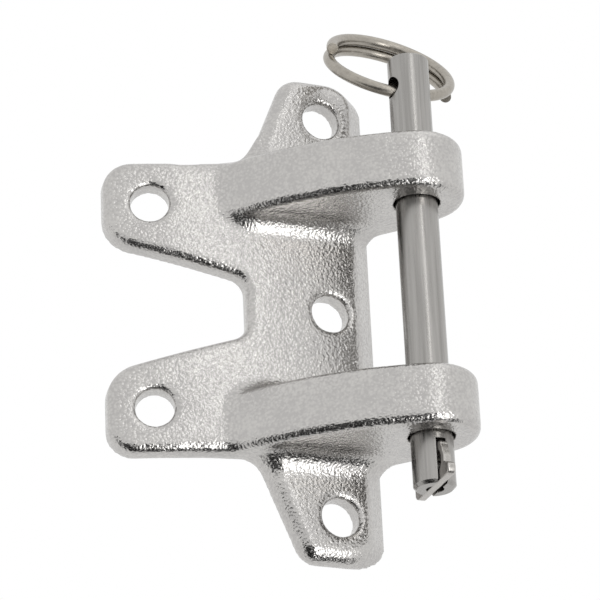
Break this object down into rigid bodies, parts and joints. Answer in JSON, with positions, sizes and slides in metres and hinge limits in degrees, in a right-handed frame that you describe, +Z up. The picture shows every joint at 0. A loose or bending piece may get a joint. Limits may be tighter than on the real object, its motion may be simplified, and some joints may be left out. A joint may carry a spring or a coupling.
{
  "type": "vang mast bracket",
  "caption": "Cast mast bracket for a boom vang: curved plate with screw holes and thick lugs that carry a drop-nose clevis pin with a split ring.",
  "frame": {"origin": "on the clevis pin's axis, midway between the lugs", "axes": "+Z up along the pin towards the split ring, +X aft along the lugs, away from the mast, -Y to port, the side of the wings"},
  "size_m": [0.0659, 0.0412, 0.1125],
  "materials": {
    "cast_stainless": "investment cast stainless steel, tumbled to a satin grain",
    "drawn_stainless": "smooth drawn stainless steel bar",
    "sheet_stainless": "stamped stainless steel sheet",
    "ring_wire": "bright stainless spring wire"
  },
  "bodies": {
    "bracket": {"bracket_casting": "cast_stainless"},
    "pin": {"clevis_pin": "drawn_stainless", "toggle_rivet": "drawn_stainless"},
    "toggle": {"drop_nose_toggle": "sheet_stainless"},
    "ring": {"split_ring": "ring_wire"}
  },
  "joints": [
    {"name": "pin_slide", "type": "slide", "parent": "bracket", "child": "pin", "axis": [0, 0, 1], "range_m": [-0.0015, 0.0019]},
    {"name": "toggle_turn", "type": "hinge", "parent": "pin", "child": "toggle", "pos_m": [-0.00106, 0.00106, -0.03745], "axis": [0.7071, 0.7071, 0], "range_deg": [0, 90]},
    {"name": "ring_swing", "type": "hinge", "parent": "pin", "child": "ring", "pos_m": [0, 0, 0.0426], "axis": [0.6547, 0.7559, 0], "range_deg": [-8, 150]}
  ]
}
